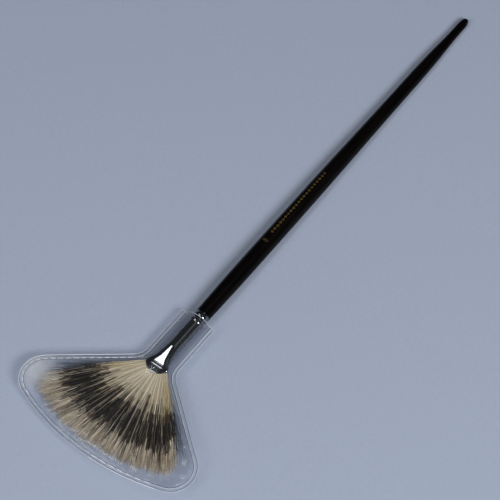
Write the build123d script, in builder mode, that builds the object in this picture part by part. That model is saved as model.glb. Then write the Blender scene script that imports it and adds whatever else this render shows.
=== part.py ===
from build123d import *
import math
import os

# A long-handled fan blender with its head in a clear protective sleeve.
# The brush lies along X: handle towards +X, hair towards -X, fan flat in the XY plane.
# The origin is on the axis, in the middle of the thickest, straight stretch of the handle.
# Millimetres. A station is a distance from the ferrule's collar towards the hair tips.

os.makedirs("parts", exist_ok=True)

# Handle
COLLAR_X = -41.0
HANDLE_LENGTH = 230.0
COLLAR_RADIUS = 3.9
GRIP_RADIUS = 4.35
GRIP_LENGTH = 14.0
TIP_RADIUS = 1.7
TENON_LENGTH = 12.0
# Where the taper passes on its way to the tip: distance from the collar, radius
TAPER = [(105.0, 4.16), (158.0, 3.6), (202.0, 2.95), (221.5, 2.3)]

# Ferrule
FERRULE_WALL = 0.4
BARREL_RADIUS = 3.7
BORE_RADIUS = BARREL_RADIUS - FERRULE_WALL
BEAD_RADIUS = 4.0
BEAD_STATIONS = (2.0, 5.3)
BEAD_LENGTH = 2.2
GROOVE_RADIUS = 3.5
BARREL_LENGTH = 20.0
# The barrel is pressed flat towards the mouth: station, half width, half height
FLARE = [
    (20.0, 3.7, 3.7),
    (25.0, 3.78, 3.5),
    (28.0, 3.95, 3.15),
    (30.5, 4.3, 2.75),
    (32.8, 5.3, 2.3),
    (34.9, 6.28, 1.95),
]
LIP_HALF_HEIGHT = 1.5
MOUTH_RADIUS = 6.8
MOUTH_STATION = 39.1
RIDGE_STATION = FLARE[-1][0]
LIP_OVERRUN = 2.0

# Hair
HAIR_HALF_ANGLE = 43.5
HAIR_TIP_STATION = 83.8
HAIR_CORNER_RADIUS = 5.0
HAIR_HALF_WIDTH = 42.5
HAIR_BELLY_STATION = 55.0
HAIR_HALF_THICKNESS_ROOT = 1.1
HAIR_HALF_THICKNESS_BELLY = 1.55
HAIR_HALF_THICKNESS_TIP = 0.8
KNOT_RADIUS = 2.7
KNOT_STATION = 15.0

# Binding thread, wound side by side round the knot
THREAD_RADIUS = 0.24
THREAD_PITCH = 0.5
THREAD_TURNS = 5
THREAD_STATION = 16.2

# Gold foil marks
FOIL_THICKNESS = 0.03
ADHESIVE = 0.005
FOIL_ANGLE = 6.0
NUMERAL_STATION = 50.0
NUMERAL_STROKE = 0.28
NUMERAL_UPPER_RADIUS = 0.55
NUMERAL_LOWER_RADIUS = 0.65
ORNAMENT_START_STATION = 56.0
ORNAMENT_END_STATION = 100.0
LOZENGE_COUNT = 21
LOZENGE_LENGTH = 1.3
LOZENGE_HEIGHT = 1.9
DOT_RADIUS = 0.25
FOIL_REACH = 8.0

# Sleeve
FILM = 0.25
WELD_WIDTH = 1.8
NECK_STATION = 3.6
NECK_HALF_WIDTH = 9.7
SIDE_ANGLE = 52.0
SIDE_STATION = 47.2
SIDE_HALF_WIDTH = 26.7
FAR_STATION = 90.5
FAR_ARC_RADIUS = 125.0
FAR_CORNER_RADIUS = 12.5
SHOULDER_RADIUS = 8.0
POCKET_TAPER = 40.0
POCKET_REACH = 6.0
NECK_CUT = 3.0
# The pocket's domed height: station, half width, half height
POCKET = [(3.6, 7.9, 4.62), (34.0, 7.9, 4.2), (46.0, 22.3, 3.2), (92.0, 81.2, 1.6)]


def x_at(station):
    return COLLAR_X - station


def section_plane(station):
    return Plane(origin=(x_at(station), 0, 0), x_dir=(0, 1, 0), z_dir=(-1, 0, 0))


def ovals(stations, wall):
    """Upright ovals to loft through, each drawn in by the wall."""
    sections = []
    for station, half_width, half_height in stations:
        with BuildSketch(section_plane(station)) as oval:
            Ellipse(half_width - wall, half_height - wall)
        sections.append(oval.sketch)
    return sections


# Handle: one turned piece with a tenon that the ferrule is pressed onto.
tip_x = COLLAR_X + HANDLE_LENGTH
grip_start = (-GRIP_LENGTH / 2, GRIP_RADIUS)
grip_end = (GRIP_LENGTH / 2, GRIP_RADIUS)
tenon_x = x_at(TENON_LENGTH)
tip_ball_angle = 62.0
tip_ball_start = (
    tip_x - TIP_RADIUS + TIP_RADIUS * math.cos(math.radians(tip_ball_angle)),
    TIP_RADIUS * math.sin(math.radians(tip_ball_angle)),
)
tip_slope = (math.sin(math.radians(tip_ball_angle)), -math.cos(math.radians(tip_ball_angle)))
taper_points = [(COLLAR_X + distance, radius) for distance, radius in TAPER]


def handle_line(lift):
    """The handle's outline from the collar to the start of its round tip, raised by lift."""

    def raised(point):
        return (point[0], point[1] + lift)

    Spline(raised((COLLAR_X, COLLAR_RADIUS)), raised(grip_start), tangents=[(1, 0.02), (1, 0)])
    Line(raised(grip_start), raised(grip_end))
    Spline(
        raised(grip_end),
        *[raised(point) for point in taper_points],
        raised(tip_ball_start),
        tangents=[(1, 0), tip_slope],
    )


with BuildPart() as handle:
    with BuildSketch(Plane.XZ):
        with BuildLine():
            Polyline(
                (tip_x, 0),
                (tenon_x, 0),
                (tenon_x, BORE_RADIUS),
                (COLLAR_X, BORE_RADIUS),
                (COLLAR_X, COLLAR_RADIUS),
            )
            handle_line(0)
            RadiusArc(tip_ball_start, (tip_x, 0), TIP_RADIUS)
        make_face()
    revolve(axis=Axis.X)
handle.part.label = "handle"
export_step(handle.part, "parts/handle.step")

# Mouth trim: everything behind the mouth's curved front edge, seen from above.
with BuildPart() as mouth_trim:
    with BuildSketch(Plane.XY.offset(-POCKET_REACH)):
        with Locations((x_at(MOUTH_STATION - MOUTH_RADIUS), 0)):
            Circle(MOUTH_RADIUS)
            Rectangle(MOUTH_STATION, 2 * MOUTH_RADIUS, align=(Align.MIN, Align.CENTER))
    extrude(amount=2 * POCKET_REACH)

# Flattened bore: the space inside the flared part of the ferrule, which the hair fills.
lip_end = (MOUTH_STATION + LIP_OVERRUN, FLARE[-1][1], LIP_HALF_HEIGHT)
with BuildPart() as flattened_bore:
    loft(ovals([*FLARE, lip_end], FERRULE_WALL))
    add(mouth_trim.part, mode=Mode.INTERSECT)

# Ferrule: a seamless tube with two crimp beads, pressed flat to a flared mouth.
with BuildPart() as ferrule:
    with BuildSketch(Plane.XZ):
        with BuildLine():
            first, second = BEAD_STATIONS
            half = BEAD_LENGTH / 2
            collar_edge = (COLLAR_X, BARREL_RADIUS)
            bead_1_start = (x_at(first - half), BARREL_RADIUS)
            bead_1_end = (x_at(first + half), GROOVE_RADIUS)
            bead_2_start = (x_at(second - half), GROOVE_RADIUS)
            bead_2_end = (x_at(second + half), BARREL_RADIUS)
            barrel_end = (x_at(BARREL_LENGTH), BARREL_RADIUS)
            Line(collar_edge, bead_1_start)
            ThreePointArc(bead_1_start, (x_at(first), BEAD_RADIUS), bead_1_end)
            Line(bead_1_end, bead_2_start)
            ThreePointArc(bead_2_start, (x_at(second), BEAD_RADIUS), bead_2_end)
            Line(bead_2_end, barrel_end)
            Polyline(barrel_end, (barrel_end[0], 0), (COLLAR_X, 0), collar_edge)
        make_face()
    revolve(axis=Axis.X)
    loft(ovals([*FLARE, lip_end], 0))
    add(mouth_trim.part, mode=Mode.INTERSECT)
    with BuildSketch(section_plane(0)):
        Circle(BORE_RADIUS)
    extrude(amount=BARREL_LENGTH, mode=Mode.SUBTRACT)
    add(flattened_bore.part, mode=Mode.SUBTRACT)
ferrule.part.label = "ferrule"
export_step(ferrule.part, "parts/ferrule.step")

# Hair: the fan outside the mouth, its flattened root in the mouth, and the tied knot behind it.
hair_slope = math.tan(math.radians(HAIR_HALF_ANGLE))
hair_side_length = (HAIR_HALF_WIDTH - FLARE[-1][1]) / hair_slope
hair_corner_station = RIDGE_STATION + hair_side_length
hair_centre_x = x_at(HAIR_TIP_STATION)
with BuildPart() as hair_fan:
    with BuildSketch(Plane.XY.offset(-POCKET_REACH)):
        with BuildLine():
            root_x = x_at(RIDGE_STATION)
            corner_x = x_at(hair_corner_station)
            root_half = FLARE[-1][1]
            Polyline(
                (corner_x, HAIR_HALF_WIDTH),
                (root_x, root_half),
                (root_x, -root_half),
                (corner_x, -HAIR_HALF_WIDTH),
            )
            ThreePointArc(
                (corner_x, -HAIR_HALF_WIDTH),
                (hair_centre_x, 0),
                (corner_x, HAIR_HALF_WIDTH),
            )
        make_face()
        tip_corners = vertices().group_by(Axis.X)[0]
        fillet(tip_corners, HAIR_CORNER_RADIUS)
    extrude(amount=2 * POCKET_REACH)
    with BuildSketch(Plane.XZ.offset(-2 * HAIR_HALF_WIDTH)):
        with BuildLine():
            belly_x = x_at(HAIR_BELLY_STATION)
            for side in (1, -1):
                ThreePointArc(
                    (root_x, side * HAIR_HALF_THICKNESS_ROOT),
                    (belly_x, side * HAIR_HALF_THICKNESS_BELLY),
                    (hair_centre_x, side * HAIR_HALF_THICKNESS_TIP),
                )
            for end_x, half in (
                (root_x, HAIR_HALF_THICKNESS_ROOT),
                (hair_centre_x, HAIR_HALF_THICKNESS_TIP),
            ):
                Line((end_x, -half), (end_x, half))
        make_face()
    extrude(amount=4 * HAIR_HALF_WIDTH, mode=Mode.INTERSECT)
    add(mouth_trim.part, mode=Mode.SUBTRACT)

with hair_fan:
    with BuildSketch(section_plane(KNOT_STATION)):
        Circle(KNOT_RADIUS)
    extrude(amount=BARREL_LENGTH - KNOT_STATION)
    add(flattened_bore.part)
hair_fan.part.label = "hair_fan"
export_step(hair_fan.part, "parts/hair_fan.step")

# Binding thread: turns laid side by side round the knot.
thread_turns = [
    (x_at(THREAD_STATION + THREAD_PITCH * turn), KNOT_RADIUS + THREAD_RADIUS)
    for turn in range(THREAD_TURNS)
]
with BuildPart() as binding_thread:
    with BuildSketch(Plane.XZ):
        with Locations(*thread_turns):
            Circle(THREAD_RADIUS)
    revolve(axis=Axis.X)
binding_thread.part.label = "binding_thread"
export_step(binding_thread.part, "parts/binding_thread.step")

# Epoxy plug: fills the barrel from the tenon on, round the knot and its thread.
thread_start = x_at(THREAD_STATION - THREAD_PITCH)
thread_end = x_at(THREAD_STATION + THREAD_PITCH * THREAD_TURNS)
thread_top = KNOT_RADIUS + 2 * THREAD_RADIUS
with BuildPart() as epoxy_plug:
    with BuildSketch(Plane.XZ):
        with BuildLine():
            Polyline(
                (x_at(TENON_LENGTH), 0),
                (x_at(TENON_LENGTH), BORE_RADIUS),
                (x_at(BARREL_LENGTH), BORE_RADIUS),
                (x_at(BARREL_LENGTH), KNOT_RADIUS),
                (thread_end, KNOT_RADIUS),
                (thread_end, thread_top),
                (thread_start, thread_top),
                (thread_start, KNOT_RADIUS),
                (x_at(KNOT_STATION), KNOT_RADIUS),
                (x_at(KNOT_STATION), 0),
                close=True,
            )
        make_face()
    revolve(axis=Axis.X)
epoxy_plug.part.label = "epoxy_plug"
export_step(epoxy_plug.part, "parts/epoxy_plug.step")

# Foil skin: a thin layer all round the handle, from which the stamped marks are cut.
with BuildPart() as foil_skin:
    for lift, fuse_or_cut in ((ADHESIVE + FOIL_THICKNESS, Mode.ADD), (ADHESIVE, Mode.SUBTRACT)):
        with BuildSketch(Plane.XZ):
            with BuildLine():
                handle_line(lift)
                Polyline(
                    (tip_ball_start[0], tip_ball_start[1] + lift),
                    (tip_ball_start[0], 0),
                    (COLLAR_X, 0),
                    (COLLAR_X, COLLAR_RADIUS + lift),
                )
            make_face()
        revolve(axis=Axis.X, mode=fuse_or_cut)

foil_tilt = math.radians(FOIL_ANGLE)
foil_normal = (0, math.sin(foil_tilt), math.cos(foil_tilt))


def foil_plane(distance):
    return Plane(origin=(COLLAR_X + distance, 0, 0), x_dir=(1, 0, 0), z_dir=foil_normal)


# Size numeral: two stacked rings, read with the handle's tip to the right.
with BuildPart() as foil_size_mark:
    with BuildSketch(foil_plane(NUMERAL_STATION)):
        loops = (
            (NUMERAL_UPPER_RADIUS, NUMERAL_UPPER_RADIUS),
            (-NUMERAL_LOWER_RADIUS, NUMERAL_LOWER_RADIUS),
        )
        for centre, radius in loops:
            with Locations((0, centre)):
                Circle(radius + NUMERAL_STROKE / 2)
        for centre, radius in loops:
            with Locations((0, centre)):
                Circle(radius - NUMERAL_STROKE / 2, mode=Mode.SUBTRACT)
    extrude(amount=FOIL_REACH)
    add(foil_skin.part, mode=Mode.INTERSECT)
foil_size_mark.part.label = "foil_size_mark"
export_step(foil_size_mark.part, "parts/foil_size_mark.step")

# Ornament: a plain row of lozenges with a dot between each two.
ornament_length = ORNAMENT_END_STATION - ORNAMENT_START_STATION
lozenge_pitch = ornament_length / (LOZENGE_COUNT - 1)
with BuildPart() as foil_ornament:
    with BuildSketch(foil_plane((ORNAMENT_START_STATION + ORNAMENT_END_STATION) / 2)):
        with GridLocations(lozenge_pitch, 1, LOZENGE_COUNT, 1):
            Polygon(
                (LOZENGE_LENGTH / 2, 0),
                (0, LOZENGE_HEIGHT / 2),
                (-LOZENGE_LENGTH / 2, 0),
                (0, -LOZENGE_HEIGHT / 2),
            )
        with GridLocations(lozenge_pitch, 1, LOZENGE_COUNT - 1, 1):
            Circle(DOT_RADIUS)
    extrude(amount=FOIL_REACH)
    add(foil_skin.part, mode=Mode.INTERSECT)
foil_ornament.part.label = "foil_ornament"
export_step(foil_ornament.part, "parts/foil_ornament.step")


def sleeve_outline(inset, neck_station):
    """The sleeve seen from above, drawn in by inset, with its open end at neck_station."""
    side_angle = math.radians(SIDE_ANGLE)
    neck_half = NECK_HALF_WIDTH - inset
    side_half = SIDE_HALF_WIDTH - inset / math.cos(side_angle)
    shoulder = SIDE_STATION - (side_half - neck_half) / math.tan(side_angle)
    side_end = FAR_STATION + POCKET_REACH
    side_end_half = side_half + (side_end - SIDE_STATION) * math.tan(side_angle)
    with BuildSketch() as outline:
        with BuildLine():
            Polyline(
                (x_at(side_end), -side_end_half),
                (x_at(shoulder), -neck_half),
                (x_at(neck_station), -neck_half),
                (x_at(neck_station), neck_half),
                (x_at(shoulder), neck_half),
                (x_at(side_end), side_end_half),
                close=True,
            )
        make_face()
        with Locations((x_at(FAR_STATION) + FAR_ARC_RADIUS, 0)):
            Circle(FAR_ARC_RADIUS - inset, mode=Mode.INTERSECT)
        corners = vertices().group_by(Axis.X)
        fillet(corners[0], FAR_CORNER_RADIUS - inset)
        fillet(corners[1], SHOULDER_RADIUS + inset)
    return outline.sketch


def pocket(wall):
    """The domed space above the weld line, drawn in by the film's wall."""
    neck_station = POCKET[0][0] - NECK_CUT * (wall > 0)
    with BuildPart() as dome:
        loft(ovals([(neck_station, *POCKET[0][1:]), *POCKET[1:]], wall), ruled=True)
    with BuildPart() as prism:
        add(sleeve_outline(WELD_WIDTH + wall, NECK_STATION - POCKET_REACH))
        extrude(amount=POCKET_REACH, taper=POCKET_TAPER)
        add(dome.part, mode=Mode.INTERSECT)
    return prism.part


# Sleeve: two films, each a flat welded rim round a low dome, open at the neck.
with BuildPart() as sleeve_upper_film:
    add(sleeve_outline(0, NECK_STATION))
    extrude(amount=FILM)
    add(pocket(0))
    add(pocket(FILM), mode=Mode.SUBTRACT)
sleeve_upper_film.part.label = "sleeve_upper_film"
export_step(sleeve_upper_film.part, "parts/sleeve_upper_film.step")

with BuildPart() as sleeve_lower_film:
    mirror(sleeve_upper_film.part, about=Plane.XY)
sleeve_lower_film.part.label = "sleeve_lower_film"
export_step(sleeve_lower_film.part, "parts/sleeve_lower_film.step")
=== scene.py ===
"""Looks of a flat fan brush with its head in a clear film sleeve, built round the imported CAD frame.

In the row frame the handle points towards +X and the fan lies flat in the XY plane. The brush
and its sleeve are sized in millimetres, and the floor, lights and camera in metres. A station is
a distance from the ferrule's collar towards the hair tips.
"""

import math
import random

import bpy
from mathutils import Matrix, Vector, noise
from mathutils.geometry import delaunay_2d_cdt


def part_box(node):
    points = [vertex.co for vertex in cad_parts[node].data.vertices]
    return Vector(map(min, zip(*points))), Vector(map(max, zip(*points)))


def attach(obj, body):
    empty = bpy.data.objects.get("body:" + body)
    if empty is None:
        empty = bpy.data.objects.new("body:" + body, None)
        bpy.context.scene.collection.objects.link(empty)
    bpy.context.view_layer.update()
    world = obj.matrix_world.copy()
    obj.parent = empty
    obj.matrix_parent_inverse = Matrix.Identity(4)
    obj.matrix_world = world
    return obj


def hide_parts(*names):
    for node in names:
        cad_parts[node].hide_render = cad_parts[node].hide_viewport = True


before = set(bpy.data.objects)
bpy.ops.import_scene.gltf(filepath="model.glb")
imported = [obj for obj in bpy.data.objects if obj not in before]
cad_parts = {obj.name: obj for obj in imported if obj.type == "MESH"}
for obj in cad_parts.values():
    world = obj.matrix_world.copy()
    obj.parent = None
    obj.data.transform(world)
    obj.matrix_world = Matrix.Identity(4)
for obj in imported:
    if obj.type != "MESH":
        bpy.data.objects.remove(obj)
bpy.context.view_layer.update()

MM = 0.001
RIGHT_ANGLE = math.pi / 2


def size(node):
    """A CAD node's lowest and highest corner in millimetres."""
    low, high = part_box(node)
    return Vector(low) / MM, Vector(high) / MM


_, handle_high = size("handle")
ferrule_low, ferrule_high = size("ferrule")
hair_low, _ = size("hair_fan")
film_low, film_high = size("sleeve_lower_film")
COLLAR_X = ferrule_high.x


def place(station, y, z):
    """The point in metres at a station, with y and z in millimetres."""
    return ((COLLAR_X - station) * MM, y * MM, z * MM)


def ease(value, start, end):
    """0 before start, 1 after end, smooth in between."""
    t = min(max((value - start) / (end - start), 0.0), 1.0)
    return t * t * (3 - 2 * t)


def along(points, at):
    """Reads a smooth curve through (position, value, value, ...) points."""
    if at <= points[0][0]:
        return points[0][1:]
    if at >= points[-1][0]:
        return points[-1][1:]
    k = next(k for k in range(len(points) - 1) if at <= points[k + 1][0])
    before, after = points[k], points[k + 1]
    earlier, later = points[max(k - 1, 0)], points[min(k + 2, len(points) - 1)]
    span = after[0] - before[0]
    t = (at - before[0]) / span
    values = []
    for axis in range(1, len(before)):
        leave = (after[axis] - earlier[axis]) / (after[0] - earlier[0]) * span
        arrive = (later[axis] - before[axis]) / (later[0] - before[0]) * span
        values.append(
            (2 * t**3 - 3 * t**2 + 1) * before[axis]
            + (t**3 - 2 * t**2 + t) * leave
            + (3 * t**2 - 2 * t**3) * after[axis]
            + (t**3 - t**2) * arrive
        )
    return tuple(values)


def make_piece(name, verts, faces, materials, body, indices=None):
    """A smooth mesh on a body; indices give each face's material."""
    mesh = bpy.data.meshes.new(name)
    mesh.from_pydata(verts, [], faces)
    for material in materials:
        mesh.materials.append(material)
    if indices:
        mesh.polygons.foreach_set("material_index", indices)
    mesh.polygons.foreach_set("use_smooth", [True] * len(faces))
    mesh.update()
    piece = bpy.data.objects.new(name, mesh)
    bpy.context.scene.collection.objects.link(piece)
    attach(piece, body)
    return piece


def ring_faces(rings, around):
    """Quads between neighbouring closed rings of the same number of points."""
    return [
        (
            ring * around + k,
            ring * around + (k + 1) % around,
            (ring + 1) * around + (k + 1) % around,
            (ring + 1) * around + k,
        )
        for ring in range(rings - 1)
        for k in range(around)
    ]


# Materials. A noise's values lie mostly between these two.
NOISE_LOW, NOISE_HIGH = 0.35, 0.65


def linear(red, green, blue):
    """A colour given as 0 to 255 display values."""

    def channel(value):
        value /= 255
        return value / 12.92 if value <= 0.04045 else ((value + 0.055) / 1.055) ** 2.4

    return (channel(red), channel(green), channel(blue), 1.0)


def node(material, kind, values=(), **settings):
    """Adds a node; values fill its inputs with numbers, colours or links."""
    new = material.node_tree.nodes.new(kind)
    for key, value in settings.items():
        setattr(new, key, value)
    for key, value in dict(values).items():
        if isinstance(value, bpy.types.NodeSocket):
            material.node_tree.links.new(value, new.inputs[key])
        else:
            new.inputs[key].default_value = value
    return new


def principled(name, color, roughness, **values):
    """A material with one Principled shader, and that shader's inputs."""
    material = bpy.data.materials.new(name)
    material.use_nodes = True
    inputs = material.node_tree.nodes["Principled BSDF"].inputs
    inputs["Base Color"].default_value = color
    inputs["Roughness"].default_value = roughness
    for key, value in values.items():
        inputs[key.replace("_", " ")].default_value = value
    return material, inputs


def speckle(material, scale, detail=3.0, stretch=(1, 1, 1)):
    """Noise over the object, drawn out along its axes by stretch."""
    place_at = node(material, "ShaderNodeTexCoord").outputs["Object"]
    spread = node(material, "ShaderNodeMapping", {"Vector": place_at, "Scale": stretch})
    grain = node(
        material,
        "ShaderNodeTexNoise",
        {"Vector": spread.outputs["Vector"], "Scale": scale, "Detail": detail},
    )
    return grain.outputs["Fac"]


def between(material, amount, low, high, start=NOISE_LOW, end=NOISE_HIGH):
    """A number from low to high as amount goes from start to end."""
    return node(
        material,
        "ShaderNodeMapRange",
        {
            "Value": amount,
            "From Min": start,
            "From Max": end,
            "To Min": low,
            "To Max": high,
        },
    ).outputs["Result"]


def blend_colors(material, amount, first, second):
    """One colour at amount's low end, the other at its high end."""
    ramp = node(material, "ShaderNodeValToRGB", {"Fac": amount})
    low, high = ramp.color_ramp.elements
    low.position, high.position = NOISE_LOW, NOISE_HIGH
    low.color, high.color = first, second
    return ramp.outputs["Color"]


def bumps(material, height, depth):
    """A normal from a height, with depth in millimetres."""
    bump = node(
        material,
        "ShaderNodeBump",
        {"Height": height, "Distance": depth * MM, "Strength": 1.0},
    )
    return bump.outputs["Normal"]


def wire(material, inputs, **sockets):
    """Links sockets to the inputs that the keywords name."""
    for key, socket in sockets.items():
        material.node_tree.links.new(socket, inputs[key.replace("_", " ")])


lacquer, inputs = principled("lacquer", linear(14, 12, 11), 0.14, Coat_Weight=0.06)
inputs["Coat Roughness"].default_value = 0.04
inputs["Specular IOR Level"].default_value = 0.05
grain = speckle(lacquer, 260, stretch=(0.12, 1, 1))
wire(
    lacquer,
    inputs,
    Base_Color=blend_colors(lacquer, grain, linear(5, 4, 4), linear(12, 9, 8)),
    Roughness=between(lacquer, speckle(lacquer, 900), 0.09, 0.2),
    Normal=bumps(lacquer, speckle(lacquer, 420, detail=2.0, stretch=(0.4, 1, 1)), 0.01),
)

plate, inputs = principled("ferrule_plate", linear(184, 187, 192), 0.07, Metallic=1.0)
wire(
    plate,
    inputs,
    Base_Color=blend_colors(
        plate, speckle(plate, 300), linear(120, 124, 130), linear(138, 140, 143)
    ),
    Roughness=between(plate, speckle(plate, 700, detail=4.0, stretch=(1, 6, 6)), 0.04, 0.12),
    Normal=bumps(plate, speckle(plate, 500, stretch=(1, 0.3, 0.3)), 0.004),
)

gold, inputs = principled("foil", linear(222, 184, 104), 0.3, Metallic=1.0)
wire(
    gold,
    inputs,
    Base_Color=blend_colors(
        gold, speckle(gold, 1500), linear(196, 152, 78), linear(236, 204, 132)
    ),
    Roughness=between(gold, speckle(gold, 2500), 0.2, 0.42),
    Normal=bumps(gold, speckle(gold, 3000), 0.01),
)

thread, inputs = principled("thread", linear(208, 200, 182), 0.8, Sheen_Weight=0.3)
twist = node(
    thread,
    "ShaderNodeTexWave",
    {"Vector": node(thread, "ShaderNodeTexCoord").outputs["Object"], "Scale": 1600.0},
    bands_direction="DIAGONAL",
).outputs["Fac"]
wire(
    thread,
    inputs,
    Base_Color=blend_colors(thread, twist, linear(176, 166, 144), linear(222, 214, 196)),
    Normal=bumps(thread, twist, 0.04),
)

epoxy, inputs = principled("epoxy", linear(150, 104, 44), 0.25, Coat_Weight=0.3)
wire(
    epoxy,
    inputs,
    Base_Color=blend_colors(
        epoxy, speckle(epoxy, 400), linear(120, 78, 30), linear(172, 126, 62)
    ),
    Roughness=between(epoxy, speckle(epoxy, 900), 0.15, 0.4),
)


FILM_IOR = 1.5
FILM_ROUGHNESS = 0.1
MILKY = (0.9, 0.92, 0.95, 1)


def clear_plastic(name, haze, shine, most_shine, color):
    """Thin clear plastic: mostly see-through, with a mirror shine that grows at low angles.

    haze is its milky share, shine multiplies the mirror share, and most_shine caps that.
    """
    material = bpy.data.materials.new(name)
    material.use_nodes = True
    tree = material.node_tree
    tree.nodes.remove(tree.nodes["Principled BSDF"])
    fresnel = node(material, "ShaderNodeFresnel", {"IOR": FILM_IOR}).outputs["Fac"]
    strength = node(
        material, "ShaderNodeMath", {0: fresnel, 1: shine}, operation="MULTIPLY"
    ).outputs["Value"]
    amount = node(
        material, "ShaderNodeMath", {0: strength, 1: most_shine}, operation="MINIMUM"
    ).outputs["Value"]
    clear = node(material, "ShaderNodeBsdfTransparent", {"Color": color}).outputs["BSDF"]
    gloss = node(
        material, "ShaderNodeBsdfGlossy", {"Roughness": FILM_ROUGHNESS}
    ).outputs["BSDF"]
    glass = node(
        material, "ShaderNodeMixShader", {0: amount, 1: clear, 2: gloss}
    ).outputs["Shader"]
    milky = node(material, "ShaderNodeBsdfDiffuse", {"Color": MILKY}).outputs["BSDF"]
    whole = node(material, "ShaderNodeMixShader", {0: haze, 1: glass, 2: milky})
    tree.links.new(whole.outputs["Shader"], tree.nodes["Material Output"].inputs["Surface"])
    return material


# The film in grades from clear to milky, the milkier ones a painted sheen at one corner, and its
# weld, its painted shade lines and its painted glints
FILM_GRADES = 6
LEAST_HAZE = 0.01
HAZE_STEP = 0.048
film_materials = [
    clear_plastic(
        f"clear_film_{level}",
        haze=LEAST_HAZE + HAZE_STEP * level,
        shine=0.45,
        most_shine=0.1,
        color=(0.96, 0.965, 0.975, 1),
    )
    for level in range(FILM_GRADES)
]
film_edge = clear_plastic(
    "film_edge", haze=0.38, shine=2.0, most_shine=0.3, color=(0.9, 0.93, 0.96, 1)
)
# Painted shade: a darker clear film for thin lines beside the weld and the cut edge
film_dark = clear_plastic(
    "film_painted_shade", haze=0.0, shine=1.0, most_shine=0.1, color=(0.58, 0.62, 0.68, 1)
)
# Painted glints: a milky film for the edge beads where light catches them
painted_glint_film = clear_plastic(
    "film_painted_glint", haze=0.85, shine=2.0, most_shine=0.3, color=MILKY
)

# Each family of hair shades, and how much a hair shines
HAIR_SHADES = {
    "cream": [(224, 213, 188), (206, 194, 166), (238, 230, 210), (172, 156, 126)],
    "golden": [(206, 184, 136)],
    "turning": [(118, 100, 76), (86, 72, 56)],
    "dark": [(17, 14, 13), (9, 8, 8), (28, 23, 21), (62, 54, 47)],
    "slate": [(56, 60, 68)],
    "tip": [(240, 229, 206), (212, 195, 168), (252, 245, 228), (140, 117, 97)],
}
HAIR_ROUGHNESS = 0.42
HAIR_SPECULAR = 0.25
DARK_HAIR_SPECULAR = 0.1
hair_materials = []
hair_slots = {}
for family, colors in HAIR_SHADES.items():
    hair_slots[family] = []
    for color in colors:
        hair_slots[family].append(len(hair_materials))
        shade, inputs = principled(
            f"hair_{family}_{len(hair_slots[family])}", linear(*color), HAIR_ROUGHNESS
        )
        inputs["Specular IOR Level"].default_value = (
            DARK_HAIR_SPECULAR if family in ("dark", "slate") else HAIR_SPECULAR
        )
        hair_materials.append(shade)

for name, material in (
    ("handle", lacquer),
    ("foil_size_mark", gold),
    ("foil_ornament", gold),
    ("binding_thread", thread),
    ("epoxy_plug", epoxy),
):
    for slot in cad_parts[name].material_slots:
        slot.material = material

# Ferrule: a thin tube with two beads and a groove, pressed to a flared mouth with a curved lip.
BARREL_RADIUS = 3.7
GROOVE_RADIUS = 3.5
BEADS = (2.0, 5.3)
BEAD_HALF = 1.1
BEAD_RADIUS = ferrule_high.z
WALL = 0.4
MOUTH_HALF_HEIGHT = 1.95
# Station, half width, half height
FLARE = [
    (20.0, BARREL_RADIUS, BARREL_RADIUS),
    (23.0, 3.73, 3.67),
    (24.5, 3.77, 3.5),
    (28.0, 3.95, 2.98),
    (30.5, 4.3, 2.61),
    (32.8, 5.3, 2.27),
    (34.9, ferrule_high.y, MOUTH_HALF_HEIGHT),
]
RIDGE = FLARE[-1][0]
RIDGE_HEIGHT = 0.1
RIDGE_WIDTH = 0.22
# A shallow furrow just behind the ridge
FURROW_DEPTH = 0.09
FURROW_WIDTH = 0.3
FURROW_OFFSET = 0.75
# A section's squareness: 2 is an ellipse
ROUND = 2.0
MOUTH_SQUARENESS = 3.5
SQUARED_FROM = 21.0
# The lip runs from the ridge to a curved front edge
MOUTH = COLLAR_X - ferrule_low.x
MOUTH_RADIUS = 6.8
RIM_HALF_HEIGHT = 1.68
LIP_DROP = 0.07
LIP_DROP_LENGTH = 0.35
AROUND = 160
LIP_RINGS = 14
RIM_STEPS = 6
INSIDE_STEPS = 5
INSIDE_STEP = 1.6
# The collar's turned-in end: station, radius
COLLAR_END = [(0.6, 3.3), (0.0, 3.4)]
COLLAR_EDGE = 0.06
FINE_STEP, COARSE_STEP = 0.07, 0.3
BEADS_END = 7.0
RIDGE_REGION = 1.5


def bead_radius(station):
    """The tube's radius along its round end, with the beads and the sunken band between them."""
    base = GROOVE_RADIUS if BEADS[0] < station < BEADS[1] else BARREL_RADIUS
    for centre in BEADS:
        off = abs(station - centre) / BEAD_HALF
        if off < 1:
            return base + (BEAD_RADIUS - base) * math.sqrt(1 - off * off)
    return base


def ferrule_section(station):
    """Half width, half height and squareness of the tube at a station up to the ridge."""
    if station <= FLARE[0][0]:
        radius = bead_radius(station)
        return radius, radius, ROUND
    half_width, half_height = along(FLARE, station)
    half_height += RIDGE_HEIGHT * math.exp(-(((station - RIDGE) / RIDGE_WIDTH) ** 2))
    furrow = (station - RIDGE + FURROW_OFFSET) / FURROW_WIDTH
    half_height -= FURROW_DEPTH * math.exp(-(furrow**2))
    squareness = ROUND + (MOUTH_SQUARENESS - ROUND) * ease(station, SQUARED_FROM, RIDGE)
    return half_width, half_height, squareness


def section_points(half_width, half_height, squareness):
    """Points round a section that goes from an ellipse towards a box with its squareness."""
    points = []
    for k in range(AROUND):
        turn = 2 * math.pi * k / AROUND
        c, s = math.cos(turn), math.sin(turn)
        power = 2 / squareness
        points.append(
            (
                half_width * math.copysign(abs(c) ** power, c),
                half_height * math.copysign(abs(s) ** power, s),
            )
        )
    return points


def mouth_station(y):
    """Where the curved front edge passes at a sideways place."""
    return MOUTH - MOUTH_RADIUS + math.sqrt(MOUTH_RADIUS**2 - min(abs(y), MOUTH_RADIUS) ** 2)


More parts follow.
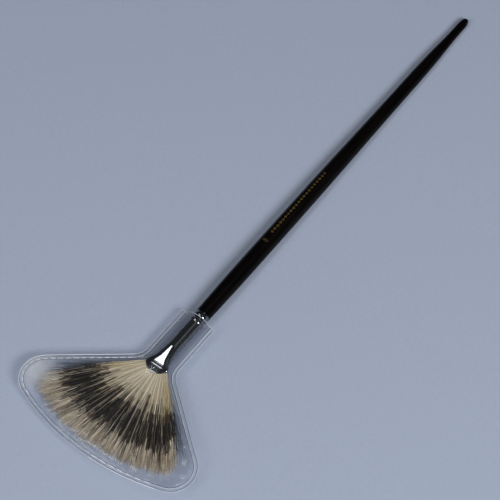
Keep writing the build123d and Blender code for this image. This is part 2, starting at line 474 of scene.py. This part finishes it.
stations = [COLLAR_EDGE]
while stations[-1] < RIDGE - 1e-6:
    here = stations[-1]
    fine = here < BEADS_END or here > RIDGE - RIDGE_REGION
    stations.append(min(here + (FINE_STEP if fine else COARSE_STEP), RIDGE))
rings = [
    [place(station, y, z) for y, z in section_points(radius, radius, ROUND)]
    for station, radius in COLLAR_END
]
for station in stations:
    points = section_points(*ferrule_section(station))
    rings.append([place(station, y, z) for y, z in points])
# From the ridge over the lip to its front edge
ridge_points = section_points(*ferrule_section(RIDGE))
rim_share = RIM_HALF_HEIGHT / MOUTH_HALF_HEIGHT
for step in range(1, LIP_RINGS + 1):
    reach = step / LIP_RINGS
    ring = []
    for y, z in ridge_points:
        advance = max(mouth_station(y) - RIDGE, 0) * reach
        drop = 1 - (1 - rim_share) * advance / (MOUTH - RIDGE)
        drop -= LIP_DROP * ease(advance, 0.0, LIP_DROP_LENGTH)
        ring.append(place(RIDGE + advance, y, z * drop))
    rings.append(ring)
# Round the rim
for step in range(RIM_STEPS + 1):
    turn = math.pi * step / RIM_STEPS
    inward = WALL / 2 * (1 - math.cos(turn))
    forward = WALL / 2 * math.sin(turn)
    ring = []
    for y, z in ridge_points:
        advance = max(mouth_station(y) - RIDGE, 0)
        height = z * (rim_share - LIP_DROP)
        scale_y = 1 - inward / ferrule_high.y
        scale_z = 1 - inward / RIM_HALF_HEIGHT
        ring.append(place(RIDGE + advance + forward, y * scale_y, height * scale_z))
    rings.append(ring)
# Back inside, along the flare's inner wall
for step in range(1, INSIDE_STEPS + 1):
    ring = []
    for y, z in ridge_points:
        station = mouth_station(y) - step * INSIDE_STEP
        half_width, half_height = along(FLARE, min(station, RIDGE))
        scale_y = (half_width - WALL) / ferrule_high.y
        scale_z = (min(half_height, RIM_HALF_HEIGHT) - WALL) / MOUTH_HALF_HEIGHT
        ring.append(place(station, y * scale_y, z * scale_z))
    rings.append(ring)
ferrule = make_piece(
    "ferrule_tube",
    [point for ring in rings for point in ring],
    ring_faces(len(rings), AROUND),
    [plate],
    "brush",
)
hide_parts("ferrule")

# Hair: fine tapered strands that fan out of the mouth, in pale, dark and pale bands. A lean
# is a place across the fan, from -1 to 1, and a strand's t goes from 0 at its root to 1.
FAN_HALF_ANGLE = math.radians(43.5)
TIP_STATION = COLLAR_X - hair_low.x
TIP_ARC_RADIUS = 89.5
ROOT_HALF_WIDTH = 5.6
ROOT_DEPTH = 1.6
# The fan's half thickness, by t
HALF_THICKNESS = [(0.0, 1.0), (0.4, 1.45), (1.0, 0.75)]
HAIR_PIECES = 8
STRANDS_PER_PIECE = 740
TUFTS = 190
TUFT_LEAN = 1.02
SEGMENTS = 11
STRAND_RADIUS = 0.07
# Ranges of the share of that radius, for plain strands and for the fine coloured ones
PLAIN_THICKNESS = (0.8, 1.8)
FINE_THICKNESS = (0.55, 1.0)
# A strand's thickness along its length: at the root, more at the belly, less at the tip
ROOT_SHARE = 0.8
BELLY_SHARE = 0.35
BELLY_RATE = 1.1
TIP_TAPER = 0.75
TAPER_FROM = 0.84
STRAND_CORNERS = [math.radians(turn) for turn in (90, 210, 330)]
# Over this part of its length a strand leaves the lens shape of the mouth for the fan's
ROOT_OPENS = (0.02, 0.3)
# Where the dark band starts and ends, by t, and how far that varies by tuft and by strand
BANDS = (0.43, 0.82)
TUFT_BAND_SPREAD = (0.06, 0.035)
STRAND_BAND_SPREAD = (0.05, 0.035)
SHADE_SPREAD = 0.27
# How far before and after the band's two edges a strand is turning from one shade to another
FIRST_EDGE_BLUR = 0.035
LAST_EDGE_BLUR = (0.02, 0.025)
# Where the other kinds change: how early the slate and dark ones darken, and a pale one's tip
SLATE_LEAD = 0.08
DARK_LEAD = 0.2
PALE_TIP_FROM = 0.7
# Each kind of strand and the running total of their shares
KINDS = [("pale", 0.1), ("dark", 0.19), ("slate", 0.21), ("plain", 1.0)]
# The outermost strands: shorter, looser, and golden here and there
EDGE_LEAN = 0.86
EDGE_SHORTENING = 5.0
EDGE_SWAY_FROM = 0.9
GOLDEN_FROM = 0.18
GOLDEN_SHARE = 0.4
# How far tips reach past the arc, and how much shorter a few strands are
TUFT_REACH_SPREAD = 0.8
STRAND_REACH_SPREAD = 1.3
SHORT_ABOVE = 0.9
SHORTENING = (2, 8)
# Sideways sway of most strands and of the loose ones, and how tips gather into tufts
SWAY_SPREAD = 0.5
LOOSE_SWAY_SPREAD = 1.4
STEADY_SHARE = 0.88
FINE_SWAY = 1.8
SWAY_TURN = 3.3
GATHER = 0.3
GATHER_FROM = 0.45
# Strays that curve out along both edges of the fan
STRAYS_PER_EDGE = 55
STRAY_LEAN = 0.96
STRAY_LEAN_SPREAD = 0.15
STRAY_SWAY = (0.5, 5.0)
STRAY_TURN = (-2.0, -1.4)
STRAY_HEIGHT = 0.6
STRAY_REACH = (-7, 2)
rng = random.Random(7)
tufts = sorted(rng.uniform(-TUFT_LEAN, TUFT_LEAN) for _ in range(TUFTS))
tuft_reach = [rng.gauss(0, TUFT_REACH_SPREAD) for _ in range(TUFTS)]
tuft_first = [rng.gauss(0, TUFT_BAND_SPREAD[0]) for _ in range(TUFTS)]
tuft_last = [rng.gauss(0, TUFT_BAND_SPREAD[1]) for _ in range(TUFTS)]
tuft_choice = [rng.random() for _ in range(TUFTS)]


def tip_distance(station, y, angle):
    """How far a straight line runs from a root point to the fan's tip arc."""
    offset = Vector((station - (TIP_STATION - TIP_ARC_RADIUS), y))
    heading = Vector((math.cos(angle), math.sin(angle)))
    half = offset.dot(heading)
    return -half + math.sqrt(half * half - offset.length_squared + TIP_ARC_RADIUS**2)


def strand_shade(t, lean, first_edge, last_edge, kind):
    """Which family of shades a strand shows at t."""
    if kind == "pale":
        family = "cream" if t < PALE_TIP_FROM else "tip"
    elif kind == "slate":
        family = "slate" if t > first_edge - SLATE_LEAD else "cream"
    elif kind == "dark":
        family = "dark" if t > first_edge - DARK_LEAD else "cream"
    elif t < first_edge - FIRST_EDGE_BLUR:
        edge_glow = abs(lean) > EDGE_LEAN and t > GOLDEN_FROM
        family = "golden" if edge_glow and rng.random() < GOLDEN_SHARE else "cream"
    elif t < first_edge + FIRST_EDGE_BLUR:
        family = "turning"
    elif t < last_edge - LAST_EDGE_BLUR[0]:
        family = "dark"
    elif t < last_edge + LAST_EDGE_BLUR[1]:
        family = "turning"
    else:
        family = "tip"
    return family


def add_strand(verts, faces, indices, lean, height, reach, wander, kind, tuft):
    """A three-sided tube from inside the mouth to the tip arc.

    height is its place in the fan's thickness, from -1 to 1, reach how far it passes the arc,
    and wander how far it sways and from which turn.
    """
    angle = lean * FAN_HALF_ANGLE
    y = max(-1.0, min(1.0, lean)) * ROOT_HALF_WIDTH
    station = mouth_station(y) - ROOT_DEPTH
    edge = max(abs(lean) - EDGE_LEAN, 0) / (1 - EDGE_LEAN)
    length = tip_distance(station, y, angle) + reach - EDGE_SHORTENING * edge * edge
    side = Vector((-math.sin(angle), math.cos(angle)))
    heading = Vector((math.cos(angle), math.sin(angle)))
    sway, first_turn = wander
    first_edge = BANDS[0] + tuft_first[tuft] + rng.gauss(0, STRAND_BAND_SPREAD[0])
    last_edge = BANDS[1] + tuft_last[tuft] + rng.gauss(0, STRAND_BAND_SPREAD[1])
    choice = (tuft_choice[tuft] + rng.gauss(0, SHADE_SPREAD)) % 1.0
    thickness_range = PLAIN_THICKNESS if kind == "plain" else FINE_THICKNESS
    thickness = STRAND_RADIUS * rng.uniform(*thickness_range)
    start = len(verts)
    root_room = math.sqrt(max(1 - (y / (ferrule_high.y - WALL)) ** 2, 0.0))
    pull = (tufts[tuft] - lean) * FAN_HALF_ANGLE * length * GATHER
    for ring in range(SEGMENTS + 1):
        t = ring / SEGMENTS
        off = sway * math.sin(first_turn + SWAY_TURN * t) * t
        off += pull * ease(t, GATHER_FROM, 1.0)
        flat = Vector((station, y)) + heading * (length * t) + side * off
        (half,) = along(HALF_THICKNESS, t)
        half *= root_room + (1 - root_room) * ease(t, *ROOT_OPENS)
        z = height * half
        belly = math.sin(math.pi * min(t * BELLY_RATE, 1))
        radius = thickness * (ROOT_SHARE + BELLY_SHARE * belly)
        radius *= 1 - TIP_TAPER * ease(t, TAPER_FROM, 1.0)
        for turn in STRAND_CORNERS:
            across = side * (radius * math.cos(turn))
            verts.append(place(flat.x + across.x, flat.y + across.y, z + radius * math.sin(turn)))
    for ring in range(SEGMENTS):
        family = strand_shade((ring + 0.5) / SEGMENTS, lean, first_edge, last_edge, kind)
        slots = hair_slots[family]
        shade = slots[int(choice * len(slots)) % len(slots)]
        low = start + ring * 3
        for k in range(3):
            faces.append((low + k, low + (k + 1) % 3, low + 3 + (k + 1) % 3, low + 3 + k))
            indices.append(shade)


def nearest_tuft(lean):
    return min(range(TUFTS), key=lambda t: abs(tufts[t] - lean))


for number in range(HAIR_PIECES):
    verts, faces, indices = [], [], []
    for _ in range(STRANDS_PER_PIECE):
        lean = rng.uniform(-1.0, 1.0)
        tuft = nearest_tuft(lean)
        draw = rng.random()
        kind = next(name for name, share in KINDS if draw < share)
        reach = tuft_reach[tuft] + rng.gauss(0, STRAND_REACH_SPREAD)
        if draw > SHORT_ABOVE:
            reach -= rng.uniform(*SHORTENING)
        spread = SWAY_SPREAD if rng.random() < STEADY_SHARE else LOOSE_SWAY_SPREAD
        sway = rng.gauss(0, spread) * (1 + ease(abs(lean), EDGE_SWAY_FROM, 1.0))
        if kind != "plain":
            sway *= FINE_SWAY
        wander = (sway, rng.uniform(0, 2 * math.pi))
        height = rng.uniform(-1, 1)
        add_strand(verts, faces, indices, lean, height, reach, wander, kind, tuft)
    if number == 0:
        for edge in (-1, 1):
            tuft = nearest_tuft(edge)
            for _ in range(STRAYS_PER_EDGE):
                lean = edge * (STRAY_LEAN + STRAY_LEAN_SPREAD * rng.random() ** 2)
                wander = (edge * rng.uniform(*STRAY_SWAY), rng.uniform(*STRAY_TURN))
                height = rng.uniform(-STRAY_HEIGHT, STRAY_HEIGHT)
                reach = rng.uniform(*STRAY_REACH)
                kind = rng.choice(("slate", "dark", "slate"))
                add_strand(verts, faces, indices, lean, height, reach, wander, kind, tuft)
    hair = make_piece(f"hair_strands_{number + 1}", verts, faces, hair_materials, "brush", indices)
    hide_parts("hair_fan")

# Sleeve: two clear films welded near their cut edges, domed over the brush's head.
NECK = COLLAR_X - film_high.x
FAR = COLLAR_X - film_low.x
NECK_HALF = 9.7
SHOULDER_RADIUS = 8.0
SIDE_ANGLE = math.radians(52.0)
SIDE_POINT = Vector((47.2, 26.7))
FAR_ARC_RADIUS = 125.0
CORNER_RADIUS = 12.5
NECK_STEPS, SHOULDER_STEPS, SIDE_STEPS, CORNER_STEPS, FAR_STEPS = 24, 12, 50, 20, 40
# How far inside the cut edge the weld runs
WELD = 1.8
# The dome's station, height and half width
DOME = [(NECK, -film_low.z, 7.9), (34.0, 4.2, 7.9), (46.0, 3.2, 22.3), (92.0, 1.6, 81.2)]
# The film climbs from the weld at a slope and turns into the dome in a tight bend
FILM_SLOPE = 1.19
BEND_POWER = 6
FILM_GAP = 0.06
# The film's points: along lines at these insets, and on a grid that ends inside the weld
FILM_LINES = (0.0, WELD / 2, WELD, WELD + 1.0, WELD + 2.2)
FILM_SPACING = 1.3
GRID_MARGIN = 3.0
# Heights of the film's wrinkles all over, at the neck, and puckered along the weld, and how
# far from the weld they rise and fade
WRINKLE = 0.035
WRINKLE_RISE = (0.4, 4.0)
NECK_FOLD = 0.2
NECK_FOLD_FADE = (5.0, 24.0)
PUCKER = 0.28
PUCKER_RISE = (0.2, 1.6)
PUCKER_FADE = (2.0, 7.0)
# The far corner on the +Y side curls up a little off the table
CORNER_CURL = 1.6
CURL_OUTWARD = (72.0, 92.0)
CURL_SIDEWAYS = (20, 44)
# Around this spot near that corner the film is milky, a painted sheen
SHEEN_SPOT = Vector((71.0, 43.0))
SHEEN_REACH = 15.0
# The beads along the film's edges, with the notches of the weld and its milky dashes of painted glint
ROPE_SIDES = 8
ROPE_STEP = 0.35
NOTCH_LENGTH = 1.5
DASH_LENGTH = 3.1
DASH_ABOVE = -0.35
NECK_EDGE_STEPS = 60
NECK_EDGE_INSET = 0.05
# Where the weld and the cut edge carry painted glints: along the +Y side, and on part of the far edge
GLINT_SIDE_FROM_Y = 12
GLINT_SIDE_END = FAR - 8
GLINT_FAR_START = FAR - 7
GLINT_FAR_Y = (-38, -4)


def arc(centre, radius, start, end, steps):
    return [
        centre + radius * Vector((math.cos(a), math.sin(a)))
        for a in (start + (end - start) * k / steps for k in range(steps + 1))
    ]


def half_outline(inset):
    """The sleeve's +Y edge from its neck to the middle of its far edge, drawn in by inset."""
    heading = Vector((math.cos(SIDE_ANGLE), math.sin(SIDE_ANGLE)))
    inward = Vector((heading.y, -heading.x))
    side = SIDE_POINT + inward * inset
    neck_half = NECK_HALF - inset
    bend = SHOULDER_RADIUS + inset
    meet = side + heading * ((neck_half - side.y) / heading.y)
    tangent = bend * math.tan(SIDE_ANGLE / 2)
    centre = Vector((meet.x - tangent, neck_half + bend))
    points = [
        Vector((NECK + (centre.x - NECK) * k / NECK_STEPS, neck_half)) for k in range(NECK_STEPS)
    ]
    points += arc(centre, bend, -RIGHT_ANGLE, SIDE_ANGLE - RIGHT_ANGLE, SHOULDER_STEPS)
    far_centre = Vector((FAR - FAR_ARC_RADIUS, 0))
    far_radius = FAR_ARC_RADIUS - inset
    round_radius = CORNER_RADIUS - inset
    line = side + inward * round_radius - far_centre
    half = line.dot(heading)
    reach = -half + math.sqrt(
        half * half - line.length_squared + (far_radius - round_radius) ** 2
    )
    corner = far_centre + line + heading * reach
    side_start, side_end = points[-1], corner - inward * round_radius
    points += [side_start.lerp(side_end, k / SIDE_STEPS) for k in range(1, SIDE_STEPS)]
    out = (corner - far_centre).normalized()
    far_angle = math.atan2(out.y, out.x)
    points += arc(corner, round_radius, SIDE_ANGLE + RIGHT_ANGLE, far_angle, CORNER_STEPS)
    points += arc(far_centre, far_radius, far_angle, 0, FAR_STEPS)[1:]
    return points


def full_outline(inset):
    upper = half_outline(inset)
    return upper + [Vector((p.x, -p.y)) for p in reversed(upper[:-1])]


def edge_distance(point, spans):
    """Distance from a point to the nearest of some straight spans."""
    best = math.inf
    for a, b in spans:
        span = b - a
        t = max(0.0, min(1.0, (point - a).dot(span) / span.length_squared))
        best = min(best, (point - a - span * t).length)
    return best


weld_line = full_outline(WELD)
upper_weld = weld_line[: len(weld_line) // 2 + 1]
weld_spans = [
    (weld_line[k], weld_line[min(k + 2, len(weld_line) - 1)])
    for k in range(0, len(weld_line) - 1, 2)
]


def weld_half(station):
    """The weld line's half width at a station, or 0 past the far edge."""
    widest = 0.0
    for a, b in zip(upper_weld, upper_weld[1:]):
        low, high = sorted((a.x, b.x))
        if low - 1e-6 <= station <= high + 1e-6 and high > low:
            widest = max(widest, a.y + (b.y - a.y) * (station - a.x) / (b.x - a.x))
    return widest


def corner_lift(station, y):
    lift = CORNER_CURL * ease(y * 0.8 + station * 0.6, *CURL_OUTWARD)
    return lift * ease(y, *CURL_SIDEWAYS)


def ripple(station, y, lengthwise, sideways, layer):
    """Noise from -1 to 1, with its rates along and across the brush."""
    return noise.noise(Vector((station * lengthwise, y * sideways, layer)))


def wrinkle(station, y):
    neck = 1 - ease(station, *NECK_FOLD_FADE)
    fold = ripple(station, y, lengthwise=0.5, sideways=0.35, layer=9.0)
    rough = ripple(station, y, lengthwise=0.12, sideways=0.2, layer=3.0)
    return WRINKLE * rough + NECK_FOLD * neck * fold


def film_height(station, y, side):
    """How high the film lies: side is 1 for the upper one and -1 for the lower one."""
    height, half_width = along(DOME, station)
    dome = height * math.sqrt(max(1 - (y / half_width) ** 2, 0.0))
    inside = station < FAR and abs(y) < weld_half(station)
    gap = edge_distance(Vector((station, y)), weld_spans) if inside else 0.0
    slope = FILM_SLOPE * gap
    lift = 0.0
    if dome > 1e-3 and slope > 1e-3:
        lift = (dome**-BEND_POWER + slope**-BEND_POWER) ** (-1 / BEND_POWER)
    lift += wrinkle(station, y) * ease(gap, *WRINKLE_RISE)
    pucker = ripple(station, y, lengthwise=0.42, sideways=0.42, layer=21.0)
    lift += PUCKER * pucker * ease(gap, *PUCKER_RISE) * (1 - ease(gap, *PUCKER_FADE))
    return side * (FILM_GAP + lift) + corner_lift(station, y)


def inside_outline(point, half_edge):
    """Even-odd test of a point against the whole cut edge."""
    if point.x < NECK:
        return False
    crossings = 0
    for a, b in zip(half_edge, half_edge[1:]):
        if (a.x > point.x) != (b.x > point.x):
            if a.y + (b.y - a.y) * (point.x - a.x) / (b.x - a.x) > abs(point.y):
                crossings += 1
    return crossings % 2 == 1


def middle_of(verts, face):
    return sum((verts[k] for k in face), Vector((0, 0))) / len(face)


def film_mesh():
    """Flat points and triangles inside the cut edge, fine enough to bend smoothly."""
    points, edges = [], []
    for inset in FILM_LINES:
        start = len(points)
        points += full_outline(inset)
        edges += [(k, k + 1) for k in range(start, len(points) - 1)]
        if inset == 0:
            edges.append((len(points) - 1, start))
    rows = int((FAR - NECK) / FILM_SPACING)
    for row in range(1, rows):
        station = NECK + row * FILM_SPACING
        half = weld_half(station) - GRID_MARGIN
        columns = max(int(2 * half / FILM_SPACING), 1)
        for column in range(columns + 1):
            points.append(Vector((station, -half + 2 * half * column / columns)))
    verts, _, faces, _, _, _ = delaunay_2d_cdt(points, edges, [], 0, 1e-5)
    cut_half = half_outline(0.0)
    return verts, [
        tuple(face) for face in faces if inside_outline(middle_of(verts, face), cut_half)
    ]


def film_grade(spot):
    """Which grade of the film a place shows: the highest at the +Y far corner, where the milkier
    grades are a painted sheen.
    """
    near = 1 - ease((spot - SHEEN_SPOT).length, 0.0, SHEEN_REACH)
    return int((FILM_GRADES - 0.01) * near)


flat_verts, flat_faces = film_mesh()
# The milky grades near the corner are a painted sheen
grades = [film_grade(middle_of(flat_verts, face)) for face in flat_faces]
for name, side in (("sleeve_upper_film", 1), ("sleeve_lower_film", -1)):
    sheet = make_piece(
        f"{name}_sheet",
        [place(v.x, v.y, film_height(v.x, v.y, side)) for v in flat_verts],
        [face if side > 0 else face[::-1] for face in flat_faces],
        film_materials,
        "sleeve",
        grades,
    )
    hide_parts(name)


# The places where the film's edge beads show painted glints
def painted_glint_at(station, y):
    along_side = y > GLINT_SIDE_FROM_Y and station < GLINT_SIDE_END
    return along_side or (
        station > GLINT_FAR_START and GLINT_FAR_Y[0] < y < GLINT_FAR_Y[1]
    )


def rope(name, line, radius, flatness, lift, teeth=0.0, edge=film_edge):
    """A flattened bead along a flat line, which teeth notch like a heat-sealed seam."""
    dense = []
    for a, b in zip(line, line[1:]):
        pieces = max(int((b - a).length / ROPE_STEP), 1)
        dense += [a.lerp(b, k / pieces) for k in range(pieces)]
    dense.append(line[-1])
    verts, indices = [], []
    run = 0.0
    for k, point in enumerate(dense):
        ahead = dense[min(k + 1, len(dense) - 1)] - dense[max(k - 1, 0)]
        across = Vector((-ahead.y, ahead.x)).normalized()
        run += (point - dense[k - 1]).length if k else 0
        notch = 1 + teeth * math.sin(2 * math.pi * run / NOTCH_LENGTH)
        for s in range(ROPE_SIDES):
            a = 2 * math.pi * s / ROPE_SIDES
            out = across * (radius * notch * math.cos(a))
            z = lift(point) + radius * flatness * notch * math.sin(a)
            verts.append(place(point.x + out.x, point.y + out.y, z))
    for ring, point in enumerate(dense[:-1]):
        # Painted glints: here the weld and cut-edge beads turn milky, in dashes along the notched
        # weld
        glint_dash = edge is film_edge and painted_glint_at(point.x, point.y)
        if glint_dash and teeth:
            glint_dash = math.sin(2 * math.pi * ring * ROPE_STEP / DASH_LENGTH) > DASH_ABOVE
        indices += [1 if glint_dash else 0] * ROPE_SIDES
    faces = ring_faces(len(dense), ROPE_SIDES)
    piece = make_piece(name, verts, faces, [edge, painted_glint_film], "sleeve", indices)
    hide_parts("sleeve_upper_film")


def flat_lift(point):
    return corner_lift(point.x, point.y)


def painted_shade_line(name, inset, radius):
    """A painted shade line beside the weld or the cut edge, modelled as a flat darker bead."""
    rope(name, full_outline(inset), radius, flatness=0.5, lift=flat_lift, edge=film_dark)


rope("sleeve_weld_bead", weld_line, radius=0.2, flatness=0.8, lift=flat_lift, teeth=0.3)
rope("sleeve_cut_edge", full_outline(0.12), radius=0.15, flatness=1.3, lift=flat_lift)
# Painted shade lines beside the weld and the cut edge
painted_shade_line("sleeve_weld_painted_shade", inset=WELD + 0.42, radius=0.16)
painted_shade_line("sleeve_edge_painted_shade", inset=0.5, radius=0.14)
neck_line = [
    Vector((NECK + NECK_EDGE_INSET, -NECK_HALF + 2 * NECK_HALF * k / NECK_EDGE_STEPS))
    for k in range(NECK_EDGE_STEPS + 1)
]
for name, side in (("sleeve_neck_edge_upper", 1), ("sleeve_neck_edge_lower", -1)):
    rope(
        name,
        neck_line,
        radius=0.11,
        flatness=1.0,
        lift=lambda point, side=side: film_height(point.x, point.y, side),
    )

# Floor: it touches the sleeve's underside at the neck and the round end of the handle.
NECK_TOUCH = Vector((film_high.x, 0, film_low.z))
TIP_RADIUS = 1.7
TIP_TOUCH = Vector((handle_high.x - TIP_RADIUS, 0, -TIP_RADIUS))
floor_slope = math.atan2(TIP_TOUCH.z - NECK_TOUCH.z, TIP_TOUCH.x - NECK_TOUCH.x)
FLOOR_HALF = 3.0
floor_material, inputs = principled("floor", linear(166, 176, 194), 0.9)
inputs["Specular IOR Level"].default_value = 0.15
wire(
    floor_material,
    inputs,
    Base_Color=blend_colors(
        floor_material, speckle(floor_material, 900), linear(167, 177, 197), linear(171, 181, 201)
    ),
)
floor_mesh = bpy.data.meshes.new("floor")
floor_mesh.from_pydata(
    [
        (x, y, NECK_TOUCH.z * MM + math.tan(floor_slope) * (x - NECK_TOUCH.x * MM))
        for x, y in (
            (-FLOOR_HALF, -FLOOR_HALF),
            (FLOOR_HALF, -FLOOR_HALF),
            (FLOOR_HALF, FLOOR_HALF),
            (-FLOOR_HALF, FLOOR_HALF),
        )
    ],
    [],
    [(0, 1, 2, 3)],
)
floor_mesh.materials.append(floor_material)
floor = bpy.data.objects.new("floor", floor_mesh)
bpy.context.scene.collection.objects.link(floor)

# Light: a soft key from the -Y side, a broad fill past the fan, a small overhead panel, a
# faint one over the handle, and a dim surround that is brighter towards its horizon.
HEAD = Vector((COLLAR_X - RIDGE, 0, 0)) * MM


def area_light(name, towards, distance, width, power):
    """A round panel that faces the brush's head from one direction."""
    data = bpy.data.lights.new(name, "AREA")
    data.shape = "DISK"
    data.size = width
    data.energy = power
    light = bpy.data.objects.new(name, data)
    direction = Vector(towards).normalized()
    light.location = HEAD + direction * distance
    light.rotation_mode = "QUATERNION"
    light.rotation_quaternion = direction.to_track_quat("Z", "Y")
    bpy.context.scene.collection.objects.link(light)


area_light("key", (-0.25, -0.8, 0.72), distance=1.9, width=0.75, power=27.0)
area_light("fill", (-0.85, 0.25, 0.75), distance=1.9, width=1.1, power=12.0)
area_light("overhead", (0.07, 0.32, 0.945), distance=1.5, width=0.34, power=2.2)
area_light("ceiling", (0.42, -0.32, 0.85), distance=2.0, width=0.8, power=0.35)
# The surround fades from the one to the other between these heights on the unit sphere
HORIZON_LIGHT, ZENITH_LIGHT = 0.34, 0.03
HORIZON_HEIGHT, ZENITH_HEIGHT = 0.08, 0.32
world = bpy.data.worlds.new("studio")
world.use_nodes = True
outward = node(world, "ShaderNodeTexCoord").outputs["Generated"]
upward = node(world, "ShaderNodeSeparateXYZ", {"Vector": outward}).outputs["Z"]
background = world.node_tree.nodes["Background"]
background.inputs["Color"].default_value = (0.8, 0.88, 1.0, 1)
world.node_tree.links.new(
    between(world, upward, HORIZON_LIGHT, ZENITH_LIGHT, HORIZON_HEIGHT, ZENITH_HEIGHT),
    background.inputs["Strength"],
)
bpy.context.scene.world = world
# The colours above are display values, so the view adds no curve of its own.
bpy.context.scene.view_settings.view_transform = "Standard"

# Camera
CAMERA_AZIMUTH = math.radians(-52.78)
CAMERA_ELEVATION = math.radians(57.73)
CAMERA_DISTANCE = 0.8243
CAMERA_TARGET = Vector((0.00195, 0.0043, 0))
CAMERA_LENS = 120.9
back = Vector(
    (
        math.sin(CAMERA_AZIMUTH) * math.cos(CAMERA_ELEVATION),
        -math.cos(CAMERA_AZIMUTH) * math.cos(CAMERA_ELEVATION),
        math.sin(CAMERA_ELEVATION),
    )
)
camera_data = bpy.data.cameras.new("camera")
camera_data.sensor_width = 36.0
camera_data.lens = CAMERA_LENS
camera = bpy.data.objects.new("camera", camera_data)
camera.location = CAMERA_TARGET + back * CAMERA_DISTANCE
camera.rotation_mode = "QUATERNION"
camera.rotation_quaternion = back.to_track_quat("Z", "Y")
bpy.context.scene.collection.objects.link(camera)
bpy.context.scene.camera = camera
